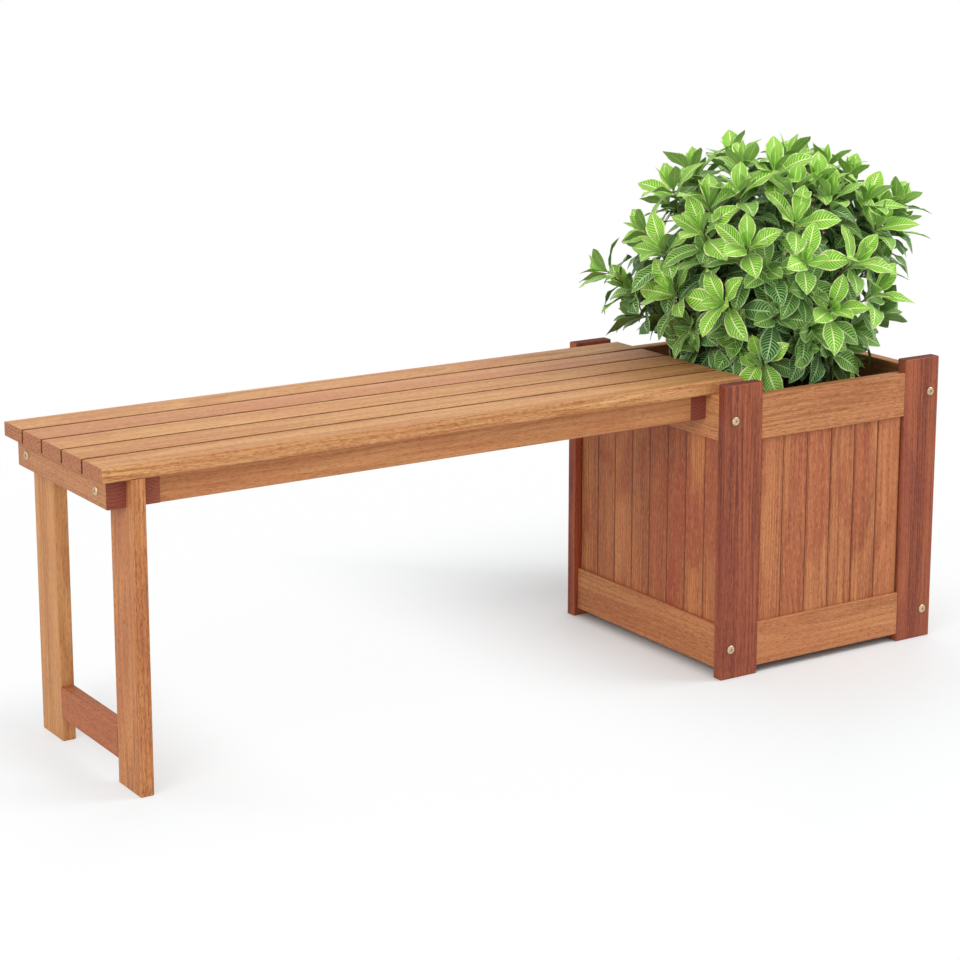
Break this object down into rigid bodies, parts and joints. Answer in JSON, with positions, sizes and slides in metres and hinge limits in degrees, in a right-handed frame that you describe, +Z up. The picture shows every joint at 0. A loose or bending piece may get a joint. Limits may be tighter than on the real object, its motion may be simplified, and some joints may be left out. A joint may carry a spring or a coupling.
{
  "type": "bench with planter",
  "caption": "Slatted wooden garden bench on a leg frame at one end, running into a square panelled planter with a leafy plant at the other.",
  "frame": {"origin": "on the floor, under the middle of the bounding box of the bench with its plant", "axes": "+X along the seat towards the planter, +Y from the front to the back, +Z up"},
  "size_m": [1.44, 0.524, 0.8],
  "materials": {
    "golden_wood": "oiled, satin",
    "red_wood": "oiled, satin",
    "board_wood": "oiled, satin",
    "inner_wood": "sawn, matt",
    "dowel_wood": "plain beech",
    "bolt_metal": "pale yellow plated, satin",
    "zinc_metal": "zinc plated",
    "soil": "loose, matt",
    "stem": "smooth bark",
    "leaf": "waxy leaf"
  },
  "bodies": {
    "root": {"apron_dowels": "dowel_wood", "back_apron": "golden_wood", "back_boards": "board_wood", "back_bottom_rail": "golden_wood", "back_corner_bolts": "bolt_metal", "back_ledger": "inner_wood", "back_left_post": "red_wood", "back_leg": "red_wood", "back_right_post": "red_wood", "back_top_rail": "golden_wood", "corner_bolt_nuts": "zinc_metal", "floor_board_1": "inner_wood", "floor_board_2": "inner_wood", "floor_board_3": "inner_wood", "floor_board_4": "inner_wood", "front_apron": "golden_wood", "front_boards": "board_wood", "front_bottom_rail": "golden_wood", "front_corner_bolts": "bolt_metal", "front_ledger": "inner_wood", "front_left_post": "red_wood", "front_leg": "red_wood", "front_right_post": "red_wood", "front_top_rail": "golden_wood", "inner_crossbar": "red_wood", "ledger_screws": "zinc_metal", "left_boards": "board_wood", "left_bottom_rail": "golden_wood", "left_top_rail": "golden_wood", "leg_bolt_nuts": "zinc_metal", "leg_bolts": "bolt_metal", "leg_stretcher": "red_wood", "outer_crossbar": "red_wood", "plant_crown": "leaf", "plant_stems": "stem", "planter_crossbar": "red_wood", "potting_soil": "soil", "rail_dowels": "dowel_wood", "right_boards": "board_wood", "right_bottom_rail": "golden_wood", "right_top_rail": "golden_wood", "seat_slat_1": "golden_wood", "seat_slat_2": "golden_wood", "seat_slat_3": "golden_wood", "seat_slat_4": "golden_wood", "seat_slat_5": "golden_wood", "slat_screws": "zinc_metal", "stretcher_dowels": "dowel_wood", "tie_bolt_nuts": "zinc_metal", "tie_bolts": "bolt_metal"}
  },
  "joints": []
}
